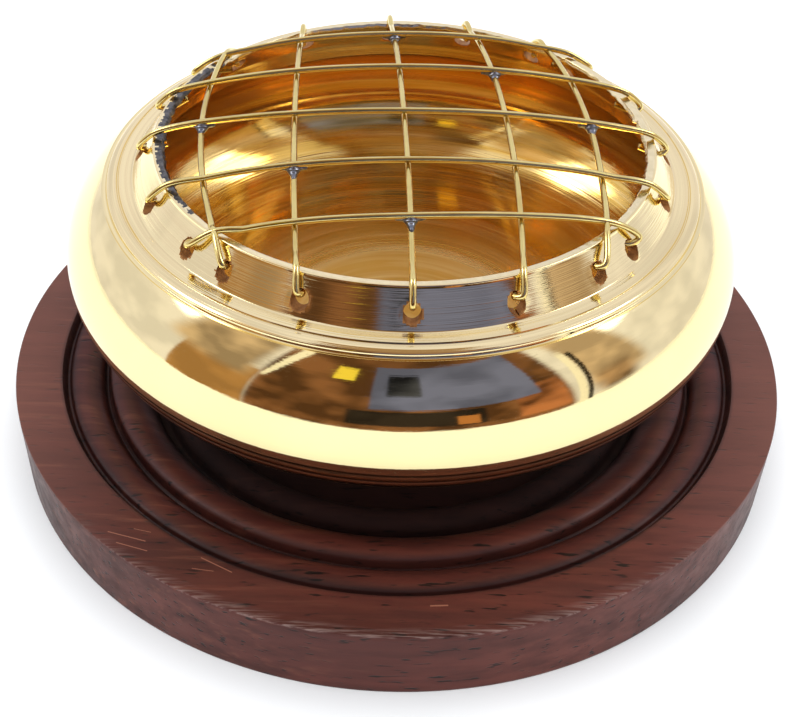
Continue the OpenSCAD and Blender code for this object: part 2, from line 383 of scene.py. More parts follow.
def brass_turned():
    """The neck and the ledge, with the lathe's fine lines left in."""
    nodes = Nodes("turned_brass")
    _, _, z = nodes.split(nodes.place)
    lines = turning_lines(nodes, nodes.math("SUBTRACT", z, nodes.radius()), 3.0)
    tint = nodes.ramp(lines, [(0.3, (0.86, 0.70, 0.38)), (0.7, (0.93, 0.79, 0.43))])
    dull = nodes.ramp(lines, [(0.35, 0.12), (0.65, 0.05)])
    return nodes.set(Base_Color=tint, Metallic=1.0, Roughness=dull, Normal=nodes.bump(lines, 0.6, 0.05))


def brass_inside():
    """The inside, with coarser lathe marks, a warm tarnish, and painted shade under the neck at the two
    sides.
    """
    nodes = Nodes("inside_brass")
    x, _, z = nodes.split(nodes.place)
    along = nodes.math("ADD", z, nodes.radius())
    coarse = turning_lines(nodes, along, 0.5, 0.025, 3.0)
    fine = turning_lines(nodes, along, 3.0)
    patch = nodes.noise(nodes.place, 55, 4)
    tint = nodes.mix(nodes.ramp(patch, [(0.35, 0.0), (0.7, 1.0)]), (0.86, 0.56, 0.13), (0.77, 0.45, 0.08))
    tint = nodes.mix(nodes.ramp(coarse, [(0.42, 0.0), (0.62, 1.0)]), tint, (0.93, 0.68, 0.25))
    # painted shade: the colour darkened under the neck at the two sides
    side = nodes.math("DIVIDE", nodes.math("ABSOLUTE", x), BELLY_R * MM)
    side = nodes.ramp(side, [(0.50, 0.0), (0.85, 1.0)])
    high = nodes.ramp(nodes.math("DIVIDE", z, LIP_Z * MM), [(0.58, 0.0), (0.74, 0.85)])
    tint = nodes.mix(nodes.math("MULTIPLY", side, high), tint, (0.36, 0.17, 0.03))
    dull = nodes.ramp(fine, [(0.35, 0.13), (0.65, 0.05)])
    floor = nodes.ramp(nodes.math("DIVIDE", nodes.radius(), BELLY_R * MM), [(0.36, 0.26), (0.60, 0.0)])
    dull = nodes.math("ADD", dull, floor)
    bump = nodes.bump(coarse, 0.12, 0.2)
    bump = nodes.bump(fine, 0.18, 0.05, bump)
    metal = nodes.math("SUBTRACT", 0.94, floor)
    return nodes.set(Base_Color=tint, Metallic=metal, Roughness=dull, Normal=bump)


def brass_filed():
    """The lip and the chamfer inside it, cut and filed by hand."""
    nodes = Nodes("filed_brass")
    grain = nodes.noise(nodes.scaled(nodes.place, (1, 1, 0.3)), 1400, 4, 0.7)
    tint = nodes.ramp(grain, [(0.3, (0.90, 0.77, 0.45)), (0.7, (0.94, 0.82, 0.50))])
    return nodes.set(Base_Color=tint, Metallic=1.0, Roughness=nodes.ramp(grain, [(0.3, 0.26), (0.7, 0.14)]),
                     Normal=nodes.bump(grain, 0.3, 0.04))


def filed_grey():
    """The chamfer filed inside the lip at the left: dull and dark, with a ragged edge."""
    nodes = Nodes("filed_grey")
    grain = nodes.noise(nodes.scaled(nodes.place, (1, 1, 0.3)), 1400, 4, 0.7)
    tint = nodes.ramp(grain, [(0.35, (0.05, 0.052, 0.056)), (0.65, (0.19, 0.18, 0.165))])
    return nodes.set(Base_Color=tint, Metallic=1.0, Roughness=0.3, Normal=nodes.bump(grain, 0.3, 0.04))


def brass_drilled():
    """The walls of the drilled holes: rough, and dark copper-brown as painted shade inside the holes."""
    nodes = Nodes("drilled_brass")
    grain = nodes.noise(nodes.place, 1500, 4, 0.7)
    tint = nodes.ramp(grain, [(0.3, (0.24, 0.10, 0.03)), (0.7, (0.50, 0.24, 0.08))])
    return nodes.set(Base_Color=tint, Metallic=0.8, Roughness=0.5, Normal=nodes.bump(grain, 0.5, 0.08))


def brass_wire():
    """The screen's wires: duller than the bowl, in uneven yellows."""
    nodes = Nodes("brass_wire")
    grain = nodes.noise(nodes.place, 700, 4, 0.65)
    cloud = nodes.noise(nodes.place, 130, 3)
    tint = nodes.mix(nodes.ramp(cloud, [(0.4, 0.0), (0.75, 1.0)]), (0.80, 0.66, 0.26), (0.66, 0.50, 0.17))
    dull = nodes.ramp(grain, [(0.35, 0.12), (0.7, 0.24)])
    return nodes.set(Base_Color=tint, Metallic=1.0, Roughness=dull, Normal=nodes.bump(grain, 0.12, 0.03))


def soft_solder():
    """The grey solder at the crossings."""
    nodes = Nodes("soft_solder")
    grain = nodes.noise(nodes.place, 1100, 4, 0.6)
    tint = nodes.ramp(grain, [(0.3, (0.09, 0.10, 0.125)), (0.7, (0.33, 0.345, 0.38))])
    return nodes.set(Base_Color=tint, Metallic=1.0, Roughness=nodes.ramp(grain, [(0.3, 0.36), (0.7, 0.22)]),
                     Normal=nodes.bump(grain, 0.35, 0.08))


# Scratches on the rim: two plan points and a width, in millimetres
SCRATCHES = [
    ((-39.5, -43.2), (-34, -44.8), 0.16),
    ((-38, -45.2), (-33.5, -46.6), 0.14),
    ((-36, -42.5), (-33.5, -43.1), 0.1),
    ((-26, -47.5), (-21.5, -50), 0.16),
    ((-27, -49.5), (-24, -49.9), 0.1),
    ((5.4, -54.8), (7.8, -54.6), 0.25),
]
WORN_EDGE = 1.8         # width of the worn band along the rim's top edge


def dark_wood():
    """Dark stained hardwood with the grain along X, fine pores, and a worn front edge."""
    nodes = Nodes("dark_wood")
    x, y, z = nodes.split(nodes.place)
    grain = nodes.noise(nodes.scaled(nodes.place, (0.12, 1, 1)), 420, 5, 0.6)
    bands = nodes.noise(nodes.scaled(nodes.place, (0.2, 1, 1)), 70, 3)
    pores = nodes.noise(nodes.scaled(nodes.place, (0.16, 1, 1), (0.3, 0.1, 0)), 1500, 2, 0.5)
    pore = nodes.ramp(pores, [(0.62, 0.0), (0.70, 1.0)])
    base = nodes.ramp(bands, [(0.3, (0.046, 0.0095, 0.0070)), (0.7, (0.110, 0.0262, 0.0180))])
    base = nodes.mix(nodes.ramp(grain, [(0.4, 0.0), (0.65, 0.55)]), base, (0.030, 0.008, 0.0065))
    base = nodes.mix(pore, base, (0.012, 0.005, 0.004))
    top = nodes.ramp(nodes.math("DIVIDE", z, COASTER_H * MM), [(0.965, 0.0), (0.99, 1.0)])
    # paler streaks along the grain, strongest on the left of the rim
    streaks = nodes.noise(nodes.scaled(nodes.place, (0.10, 1.2, 1), (0.7, 0.2, 0)), 560, 3, 0.6)
    leftward = nodes.math("MULTIPLY", x, -1 / (COASTER_R * MM))
    pale_streaks = nodes.math("MULTIPLY", nodes.ramp(streaks, [(0.56, 0.0), (0.72, 0.35)]),
                        nodes.ramp(leftward, [(0.0, 0.25), (0.5, 1.0)]))
    base = nodes.mix(pale_streaks, base, (0.22, 0.075, 0.042))
    # the rim top is lighter towards the two sides
    lighter_sides = nodes.math("DIVIDE", nodes.math("ABSOLUTE", x), COASTER_R * MM)
    lighter_sides = nodes.ramp(lighter_sides, [(0.60, 0.0), (0.95, 0.5)])
    base = nodes.mix(nodes.math("MULTIPLY", lighter_sides, top), base, (0.19, 0.075, 0.052))
    for start, end, width in SCRATCHES:
        scratch = nodes.math("MULTIPLY", nodes.stroke(start, end, width), top)
        base = nodes.mix(scratch, base, (0.24, 0.09, 0.055))
    # painted shade: the colour darkened in the grooves and under the bowl
    ring = nodes.math("DIVIDE", nodes.radius(), COASTER_R * MM)
    base = nodes.mix(1.0, base, nodes.ramp(ring, [
        (0.50, 0.25), (0.60, 0.20), (0.655, 0.20), (0.68, 0.60), (0.745, 0.95), (0.765, 0.35), (0.785, 0.65),
        (0.825, 1.0), (0.845, 0.85), (0.856, 0.4), (0.880, 0.35), (0.890, 1.0)]), "MULTIPLY")
    # the worn band: fibres rubbed pale along the sharp top edge, mostly at the front
    edge = nodes.math("SUBTRACT", nodes.radius(), (COASTER_R - WORN_EDGE) * MM)
    edge = nodes.math("DIVIDE", edge, WORN_EDGE * MM)
    front = nodes.ramp(nodes.math("MULTIPLY", y, -1 / (COASTER_R * MM)), [(0.60, 0.0), (0.95, 0.55)])
    fibres = nodes.noise(nodes.scaled(nodes.place, (0.12, 1.8, 1)), 1500, 3, 0.6)
    wear = nodes.math("MULTIPLY", nodes.math("MULTIPLY", nodes.math("MAXIMUM", edge, 0.0), top), front)
    wear = nodes.math("MULTIPLY", wear, nodes.ramp(fibres, [(0.45, 0.0), (0.62, 1.0)]))
    base = nodes.mix(wear, base, (0.27, 0.19, 0.17))
    # quite dull under the bowl
    dull = nodes.mix(nodes.ramp(ring, [(0.60, 1.0), (0.70, 0.0)]),
                     nodes.ramp(grain, [(0.3, 0.34), (0.7, 0.5)]), (0.9, 0.9, 0.9))
    bump = nodes.bump(pore, 0.5, -0.05)
    bump = nodes.bump(grain, 0.12, 0.05, bump)
    return nodes.set(Base_Color=base, Roughness=dull, Normal=bump, Specular_IOR_Level=0.18)


# ---------------------------------------------------------------- the coaster


def coaster_wobble(r, z, angle, zone):
    """Hand finishing: the surface wanders by a few hundredths of a millimetre."""
    where = Vector((r * math.cos(angle), r * math.sin(angle), z * 2))
    drift = noise.noise(where * 0.06) * 0.07
    return drift * 0.4, (drift if z > 2 else 0.0)


def make_coaster(material):
    """Rim, outer groove, inner groove and recess, as (radius, height) from the underside's middle."""
    top = COASTER_H
    rim = rounded([(53.3, top), (52.9, 11.2), (52.6, 10.6), (52.2, 10.6), (52.0, 11.0)], 0.2)
    profile = (
        line((0, 0), (59.6, 0), 24)
        + rounded([(59.6, 0), (59.9, 0.05), (60.0, 0.4), (60.02, 1)], 0.2)
        + line((60.02, 1), (COASTER_R, top - 0.2), 14)
        + rounded([(COASTER_R, top - 0.2), (COASTER_R - 0.05, top), (COASTER_R - 0.6, top)], 0.12)
        + line((COASTER_R - 0.6, top), (53.6, top), 16)
        + rim
        + ellipse(50.4, 11, 1.6, 0.6, 0, 90, 12)
        + ellipse(50.4, 9.2, 3.6, 2.4, 92, 180, 22)
        + rounded([(46.8, 9.2), (46.5, 9.05), (46.05, 9.4), (45.95, 10.6)], 0.15)
        + ellipse(44.2, 10.6, 1.75, 0.9, 12, 90, 12)
        + ellipse(44.2, 7.2, 4.6, 4.3, 92, 180, 26)
        + rounded([(39.6, 7.2), (39.4, 6.6), (38.9, 6.4), (38.2, 6.6), (37.9, 7.4)], 0.2)
        + ellipse(35.7, 7.4, 2.2, 2.3, 6, 174, 26)
        + rounded([(33.5, 7.4), (33.2, 6.6), (32.6, RECESS_Z), (31, RECESS_Z)], 0.3)
        + line((31, RECESS_Z), (0, RECESS_Z), 12)
        + [(0, RECESS_Z)]
    )
    piece = turned("coaster_wood", [(0, profile)], COASTER_SEGMENTS, [material], coaster_wobble, 50)
    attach(piece, "base")
    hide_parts("coaster")


# ---------------------------------------------------------------- the bowl


def nearest_hole(angle):
    """Angle in radians from the nearest hole's bearing."""
    return min(abs((angle - math.radians(b) + math.pi) % TURN - math.pi) for b in BEARINGS)


def bowl_wobble(r, z, angle, zone):
    """Burrs round the holes, and the filed unevenness of the lip."""
    if zone == FILED:
        ragged = noise.noise(Vector((math.cos(angle) * 40, math.sin(angle) * 40, r * 0.5)))
        teeth = abs(noise.noise(Vector((math.cos(angle) * 90, math.sin(angle) * 90, 5))))
        side = max(0.0, abs(math.cos(angle)) - 0.75) * 4
        inner = max(0.0, (NECK_TOP_R - LIP * 0.5 - r) / (LIP * 0.5))
        return (ragged * 0.22 - side * (0.25 + teeth * 0.5)) * min(inner, 1.0), ragged * 0.08
    if zone in (TURNED, INSIDE) and LEDGE_Z + 0.3 < z < LIP_Z - 0.3 and r > NECK_TOP_R - LIP - 1:
        away = math.hypot(nearest_hole(angle) * r, z - HOLE_Z) - HOLE_R
        if away < 0.7:
            rough = 0.6 + 0.7 * noise.noise(Vector((angle * 60, z * 1.5, 3)))
            lift = 0.12 * rough * math.exp(-max(away, 0.0) / 0.22)
            return (lift if zone == TURNED else -lift), 0.0
    return 0.0, 0.0


def bowl_zones():
    """The profile from the middle of the underside, up the outside, over the lip and down inside."""
    edge_z = LEDGE_Z - LEDGE_FALL
    neck_in = (NECK_LOW_R - LIP, LEDGE_Z - 0.1)
    lip_in = (NECK_TOP_R - LIP, LIP_Z - 0.45)
    underside = (
        line((0, RECESS_Z + 1.2), (FOOT_R - 4, RECESS_Z + 1.2), 16)
        + rounded([(FOOT_R - 4, 7.2), (FOOT_R - 3, RECESS_Z), (FOOT_R - 0.3, RECESS_Z), (FOOT_R, 6.3),
                   (FOOT_R, 8), (FOOT_R - 0.4, 8.5), (FOOT_R - 0.6, 10), (FOOT_R, 11.6),
                   (FOOT_R + 0.9, 12.9), (23.7, 13.95)], 0.2)
    )
    outside = (
        ellipse(BELLY_AXIS_R, BELLY_Z, BELLY_R - BELLY_AXIS_R, BELLY_DROP, -64, 0, 90)
        + ellipse(SHOULDER_AXIS_R, BELLY_Z, BELLY_R - SHOULDER_AXIS_R, BELLY_RISE, 0.75, 37, 52)
        + rounded([(43.96, 45.1), (43.8, 45.02), (43.4, 45.0), (LEDGE_R + 0.02, edge_z - 0.35)], 0.08)
    )
    ledge = (
        rounded([(LEDGE_R + 0.02, edge_z - 0.35), (LEDGE_R - 0.02, edge_z - 0.1),
                 (LEDGE_R - 0.25, edge_z + 0.08), (LEDGE_R - 0.8, edge_z + 0.3),
                 (LEDGE_R - 1.4, edge_z + 0.36)], 0.25)
        + rounded([(LEDGE_R - 1.4, edge_z + 0.36), (LEDGE_R - 1.52, edge_z + 0.18),
                   (LEDGE_R - 1.66, edge_z + 0.2), (LEDGE_R - 1.78, edge_z + 0.44)], 0.05)
        + line((LEDGE_R - 1.78, edge_z + 0.44), (NECK_LOW_R + 0.5, LEDGE_Z - 0.05), 10)
        + rounded([(NECK_LOW_R + 0.5, LEDGE_Z - 0.05), (NECK_LOW_R + 0.1, LEDGE_Z),
                   (NECK_LOW_R - 0.12, LEDGE_Z + 0.35)], 0.15)
        + line((NECK_LOW_R - 0.12, LEDGE_Z + 0.35), (NECK_TOP_R + 0.08, LIP_Z - 0.3), 22)
        + rounded([(NECK_TOP_R + 0.08, LIP_Z - 0.3), (NECK_TOP_R, LIP_Z), (NECK_TOP_R - 0.3, LIP_Z)], 0.15)
    )
    lip = (
        line((NECK_TOP_R - 0.3, LIP_Z), (NECK_TOP_R - LIP + 0.4, LIP_Z), 5)
        + rounded([(NECK_TOP_R - LIP + 0.4, LIP_Z), (NECK_TOP_R - LIP + 0.25, LIP_Z), lip_in,
                   (lip_in[0] + 0.1, lip_in[1] - 0.2)], 0.08)
    )
    inside = (
        line((lip_in[0] + 0.1, lip_in[1] - 0.2), neck_in, 22)
        + rounded([neck_in, (38.4, 44.9), (38.76, 43.6)], 0.5)
        + ellipse(SHOULDER_AXIS_R, BELLY_Z, BELLY_R - SHOULDER_AXIS_R - WALL, 13.5, 46, 0, 44)
        + ellipse(BELLY_AXIS_R, BELLY_Z, BELLY_R - BELLY_AXIS_R - WALL, BELLY_DROP - WALL, -1.5, -90, 110)
        + line((BELLY_AXIS_R, BELLY_Z - BELLY_DROP + WALL), (0, BELLY_Z - BELLY_DROP + WALL), 3)
        + [(0, BELLY_Z - BELLY_DROP + WALL)]
    )
    return [(POLISHED, underside), (POLISHED, outside), (TURNED, ledge), (FILED, lip), (INSIDE, inside)]


def hole_cutter():
    """All the drilled holes as one mesh of separate cylinders."""
    points, faces = [], []
    rng = random.Random(5)
    for bearing in BEARINGS:
        a = math.radians(bearing)
        out = Vector((math.cos(a), math.sin(a), rng.uniform(-0.05, 0.05)))
        centre = Vector((math.cos(a), math.sin(a), 0)) * HOLE_WALL_R + Vector((0, 0, HOLE_Z))
        part, part_faces = tube([centre - out * 3, centre + out * 3], HOLE_R * rng.uniform(0.97, 1.03), 40)
        faces += [tuple(i + len(points) for i in face) for face in part_faces]
        points += part
    return mesh_object("hole_cutter", points, faces, [0] * len(faces), [])


def make_bowl(materials):
    """The turned bowl, drilled, with its hole walls and the dark part of the chamfer picked out."""
    piece = turned("brass_bowl", bowl_zones(), BOWL_SEGMENTS, materials, bowl_wobble)
    cutter = hole_cutter()
    drill = piece.modifiers.new("holes", "BOOLEAN")
    drill.operation = "DIFFERENCE"
    drill.solver = "EXACT"
    drill.object = cutter
    with_modifiers_applied(piece)
    bpy.data.objects.remove(cutter)
    for face in piece.data.polygons:
        c = face.center / MM
        r = math.hypot(c.x, c.y)
        # the chamfer is dark only at the left, out to a ragged edge
        ragged_r = NECK_TOP_R - 0.3 + 0.9 * noise.noise(Vector((c.x * 1.5, c.y * 1.5, 7)))
        if face.material_index == FILED and c.x < 5 * noise.noise(c) - 28.5 and r < ragged_r:
            face.material_index = FILED_GREY
        # the hole walls get the drilled material, whose dark colour is painted shade
        if LEDGE_Z + 0.2 < c.z < LIP_Z and HOLE_WALL_R - 2 < r < HOLE_WALL_R + 2:
            if math.hypot(nearest_hole(math.atan2(c.y, c.x)) * r, c.z - HOLE_Z) < HOLE_R * 1.06:
                face.material_index = DRILLED
    finish_shading(piece.data, SHARP_DEG)
    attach(piece, "burner")
    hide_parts("bowl")


# ---------------------------------------------------------------- the screen


class Wire:
    """The route of one screen wire: a shallow arc on the dome, bent down over the lip at both ends and
    hooked in through the tops of its two holes."""

    def __init__(self, start, end, bow, shift, shape, setback):
        self.sag, *self.tips = shape
        self.lifts = None
        self.holes = [Vector((math.cos(math.radians(t)), math.sin(math.radians(t)), 0)) * HOLE_WALL_R
                      for t in (start, end)]
        a, b = self.holes
        self.along = (b - a).normalized()
        self.left = Vector((-self.along.y, self.along.x, 0))
        a, b = self.ends = [a + self.left * shift[0], b + self.left * shift[1]]
        self.mid = (a + b) / 2
        self.along = (b - a).normalized()
        self.left = Vector((-self.along.y, self.along.x, 0))
        self.chord = (b - a).length / 2
        self.half = self.chord - setback
        self.bow = bow

    def point(self, k):
        """A point on the shallow arc, k from -1 at its start to 1 at its end."""
        part = k * self.half / self.chord
        p = self.mid + self.along * k * self.half + self.left * self.bow * (1 - part * part)
        p.z = CROWN_Z - DOME_R + math.sqrt(DOME_R ** 2 - p.x ** 2 - p.y ** 2)
        p.z += self.sag[0] * (1 - k * k) - self.sag[1 if k < 0 else 2] * abs(k) ** 3
        stops = self.lifts
        if stops:
            # eased between the heights that pass it under the rows at its crossings
            spots = [(-1.0, stops[0][1])] + stops + [(1.0, stops[-1][1])]
            for (k0, z0), (k1, z1) in zip(spots, spots[1:]):
                if k0 <= k <= k1:
                    t = (k - k0) / max(k1 - k0, 1e-6)
                    p.z += z0 + (z1 - z0) * t * t * (3 - 2 * t)
                    break
        return p

    def end(self, side, tip_len, tip_up):
        """Points from beyond the end of the arc over the lip, down, and in through the hole's top."""
        hole, base, sign = self.holes[side], self.ends[side], (-1, 1)[side]
        last, before = self.point(sign), self.point(sign * 0.97)
        out = (self.along * sign - self.left * 2 * self.bow / self.chord).normalized()
        radial = hole.normalized()
        turn = math.atan2(radial.x * out.y - radial.y * out.x, out.dot(radial))
        turn = max(-math.radians(28), min(math.radians(28), turn))
        into = Matrix.Rotation(turn, 3, "Z") @ radial
        top = HOLE_Z + HOLE_R - WIRE_R - 0.1
        up = math.radians(tip_up)

        def at_radius(r, z):
            """The wire's plan line at distance r from the axis, at height z."""
            near = base.dot(out)
            reach = math.sqrt(max(0.0, r * r - base.length_squared + near * near)) - near
            return base + out * reach + Vector((0, 0, z))

        aside = (base - hole).length
        knots = [before, last]
        knots.append(at_radius(NECK_TOP_R - 0.1, LIP_Z + WIRE_R + 0.14))
        knots.append(at_radius(HOLE_WALL_R + 0.7 + aside * 0.35, top + 0.5))
        knots.append(hole + into * 0.3 + Vector((0, 0, top - 0.02)))
        knots.append(hole - into * 0.9 + Vector((0, 0, top + 0.05)))
        knots.append(hole - into * (0.9 + (tip_len - 1.2) * math.cos(up))
                     + Vector((0, 0, top + 0.05 + (tip_len - 1.2) * math.sin(up))))
        knots.append(knots[-1] * 2 - knots[-2])
        return spline(knots, 8)

    def path(self):
        """The whole wire's centre line, from tip to tip."""
        steps = 90
        arc = [self.point(-1 + 2 * i / steps) for i in range(steps + 1)]
        head = self.end(0, *self.tips[0])
        tail = self.end(1, *self.tips[1])
        return head[::-1] + arc + tail

    def crossing(self, other):
        """The two wires' points where they cross in plan, this one's and the other's."""
        best = None
        for i in range(-90, 91):
            p = self.point(i / 90)
            k = (p - other.mid).dot(other.along) / other.half
            q = other.point(max(-1.0, min(1.0, k)))
            gap = math.hypot(p.x - q.x, p.y - q.y)
            if best is None or gap < best[0]:
                best = (gap, i / 90, k)
        return self.point(best[1]), other.point(best[2])


# Sag of each wire's middle, start and end, then (length, upward angle) of its two tips
ROW_SHAPE = [
    ((-0.3, 0.7, 0.8), (3.6, 12), (3.6, 14)),
    ((-0.2, 0.5, 0.5), (4.0, 30), (3.8, 22)),
    ((-0.4, 0.4, 0.6), (3.6, 18), (4.0, 24)),
    ((-0.3, 0.9, 0.9), (3.6, 14), (3.6, 12)),
    ((-0.5, 1.2, 0.5), (3.8, 14), (3.6, 18)),
]
COLUMN_SHAPE = [
    ((0.0, 0.3, 0.6), (3.8, 14), (2.6, 8)),
    ((0.0, 0.3, 0.8), (3.4, 10), (3.0, 6)),
    ((0.0, 0.3, 0.8), (3.6, 8), (2.8, 6)),
    ((0.0, 0.3, 0.8), (3.6, 10), (2.6, 10)),
    ((0.0, 0.3, 0.6), (3.8, 14), (2.4, 12)),
]


def make_wires(material):
    """Five rows and five columns; returns their routes, on which the solder is placed."""
    gap = 2 * WIRE_R + WIRE_GAP
    rows, columns = [], []
    for i in range(5):
        rows.append(Wire(ROW_LEFT[i], ROW_RIGHT[i], ROW_BOW[i], ROW_SHIFT[i], ROW_SHAPE[i], ROW_SETBACK))
        columns.append(Wire(COLUMN_FRONT[i], COLUMN_BACK[i], COLUMN_BOW[i], COLUMN_SHIFT[i],
                            COLUMN_SHAPE[i], COLUMN_SETBACK))
    # the columns run a wire's thickness under the rows
    for column in columns:
        paired = []
        for row in rows:
            on_row, on_column = row.crossing(column)
            k = (on_column - column.mid).dot(column.along) / column.half
            paired.append((k, on_row.z - gap - on_column.z))
        column.lifts = sorted(paired)
    for kind, wires in (("row", rows), ("column", columns)):
        for number, wire in enumerate(wires, 1):
            name = f"{kind}_wire_{number}"
            points, faces = tube(wire.path(), WIRE_R)
            piece = mesh_object("screen_" + name, points, faces, [0] * len(faces), [material], WIRE_SHARP_DEG)
            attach(piece, "burner")
            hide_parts(name)
    return rows, columns


def make_solder(number, row, column, material):
    """A fillet of solder on the near side of a crossing, grown from small balls and melted together."""
    on_row, on_column = row.crossing(column)
    front = -column.along if column.along.y > 0 else column.along
    rng = random.Random(40 + number)
    balls = [(on_row + Vector((0, 0, -0.72)), 0.85)]
    for step in range(1, 9):
        s = step * 0.22
        for side in (-1, 1):
            balls.append((on_row + row.along * side * s * rng.uniform(0.9, 1.1) + Vector((0, 0, -0.45)),
                          0.62 - 0.045 * step))
            balls.append((on_row + row.along * side * s * 0.5 + front * max(0.0, 1.25 - 0.75 * s)
                          + Vector((0, 0, -0.72)), 0.5 - 0.035 * step))
        balls.append((on_column + front * s * 1.2 + Vector((0, 0, 0.05)), 0.72 - 0.045 * step))
    shape = bmesh.new()
    for centre, radius in balls:
        bmesh.ops.create_icosphere(shape, subdivisions=3, radius=radius * MM,
                                   matrix=Matrix.Translation(centre * MM))
    mesh = bpy.data.meshes.new(f"solder_{number}")
    shape.to_mesh(mesh)
    shape.free()
    piece = bpy.data.objects.new(f"solder_fillet_{number}", mesh)
    bpy.context.scene.collection.objects.link(piece)
    melt = piece.modifiers.new("melt", "REMESH")
    melt.mode = "VOXEL"
    melt.voxel_size = 0.08 * MM
    settle = piece.modifiers.new("settle", "SMOOTH")
    settle.factor = 0.5
    settle.iterations = 8
    with_modifiers_applied(piece)
    piece.data.materials.clear()
    piece.data.materials.append(material)
    finish_shading(piece.data, 80)
    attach(piece, "burner")
    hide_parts(f"solder_joint_{number}")


# ---------------------------------------------------------------- stage, light and camera


def emission(name, colour, strength, soft=0.0, patchy=0.0):
    """A glowing card's material, faded out towards its edges when soft is above 0, and broken up into
    lighter and darker patches when patchy is."""
    material = bpy.data.materials.new(name)
    material.use_nodes = True
    tree = material.node_tree
    tree.nodes.clear()
    out = tree.nodes.new("ShaderNodeOutputMaterial")
    glow = tree.nodes.new("ShaderNodeEmission")
    glow.inputs["Color"].default_value = (*colour, 1)
    glow.inputs["Strength"].default_value = strength
    if patchy:
        texture = tree.nodes.new("ShaderNodeTexNoise")
        texture.inputs["Scale"].default_value = 2.5
        texture.inputs["Detail"].default_value = 2.0
        tree.links.new(tree.nodes.new("ShaderNodeTexCoord").outputs["Object"], texture.inputs["Vector"])
        patches = tree.nodes.new("ShaderNodeMapRange")
        patches.inputs["From Min"].default_value = 0.40
        patches.inputs["From Max"].default_value = 0.60
        patches.inputs["To Min"].default_value = strength * (1 - patchy)
        patches.inputs["To Max"].default_value = strength * (1 + patchy * 0.6)
        tree.links.new(texture.outputs["Fac"], patches.inputs["Value"])
        tree.links.new(patches.outputs[0], glow.inputs["Strength"])
    if not soft:
        tree.links.new(glow.outputs[0], out.inputs[0])
        return material
    spot = tree.nodes.new("ShaderNodeUVMap")
    split = tree.nodes.new("ShaderNodeSeparateXYZ")
    tree.links.new(spot.outputs[0], split.inputs[0])
    fades = []
    for axis in (0, 1):
        nearest = tree.nodes.new("ShaderNodeMath")
        nearest.operation = "PINGPONG"
        nearest.inputs[1].default_value = 0.5
        tree.links.new(split.outputs[axis], nearest.inputs[0])
        fade = tree.nodes.new("ShaderNodeMapRange")
        fade.interpolation_type = "SMOOTHSTEP"
        fade.inputs["From Max"].default_value = soft
        tree.links.new(nearest.outputs[0], fade.inputs["Value"])
        fades.append(fade.outputs[0])
    both = tree.nodes.new("ShaderNodeMath")
    both.operation = "MULTIPLY"
    for target, fade in zip(both.inputs, fades):
        tree.links.new(fade, target)
    clear = tree.nodes.new("ShaderNodeBsdfTransparent")
    mix = tree.nodes.new("ShaderNodeMixShader")
    tree.links.new(both.outputs[0], mix.inputs[0])
    tree.links.new(clear.outputs[0], mix.inputs[1])
    tree.links.new(glow.outputs[0], mix.inputs[2])
    tree.links.new(mix.outputs[0], out.inputs[0])
    return material


def card(name, corners, distance, colour, strength=1.0, soft=0.0, patchy=0.0):
    """A card seen only in reflections. corners are (azimuth, elevation) in degrees, anticlockwise from
    the low left; azimuth 0 is in front of the object, towards -Y, and 90 is to its right."""
    steps = 12
    points, faces, spots = [], [], []
    for j in range(steps + 1):
        for i in range(steps + 1):
            u, v = i / steps, j / steps
            low = Vector(corners[0]) * (1 - u) + Vector(corners[1]) * u
            high = Vector(corners[3]) * (1 - u) + Vector(corners[2]) * u
            az, el = (math.radians(t) for t in low * (1 - v) + high * v)
            points.append((
                distance * math.sin(az) * math.cos(el),
                -distance * math.cos(az) * math.cos(el),
                distance * math.sin(el) + 40,
            ))
            spots.append((u, v))
    for j in range(steps):
        for i in range(steps):
            a = j * (steps + 1) + i
            faces.append((a, a + 1, a + steps + 2, a + steps + 1))
    glow = emission(name, colour, strength, soft, patchy)
    piece = mesh_object(name, points, faces, [0] * len(faces), [glow])
    layer = piece.data.uv_layers.new(name="card")
    for loop in piece.data.loops:
        layer.data[loop.index].uv = spots[loop.vertex_index]
    piece.visible_camera = False
    piece.visible_diffuse = False
    piece.visible_shadow = False
    piece.visible_transmission = False


def band(name, az0, az1, el0, el1, distance, colour, strength=1.0, soft=0.0, patchy=0.0):
    """A card between two azimuths and two elevations."""
    corners = [(az0, el0), (az1, el0), (az1, el1), (az0, el1)]
    card(name, corners, distance, colour, strength, soft, patchy)


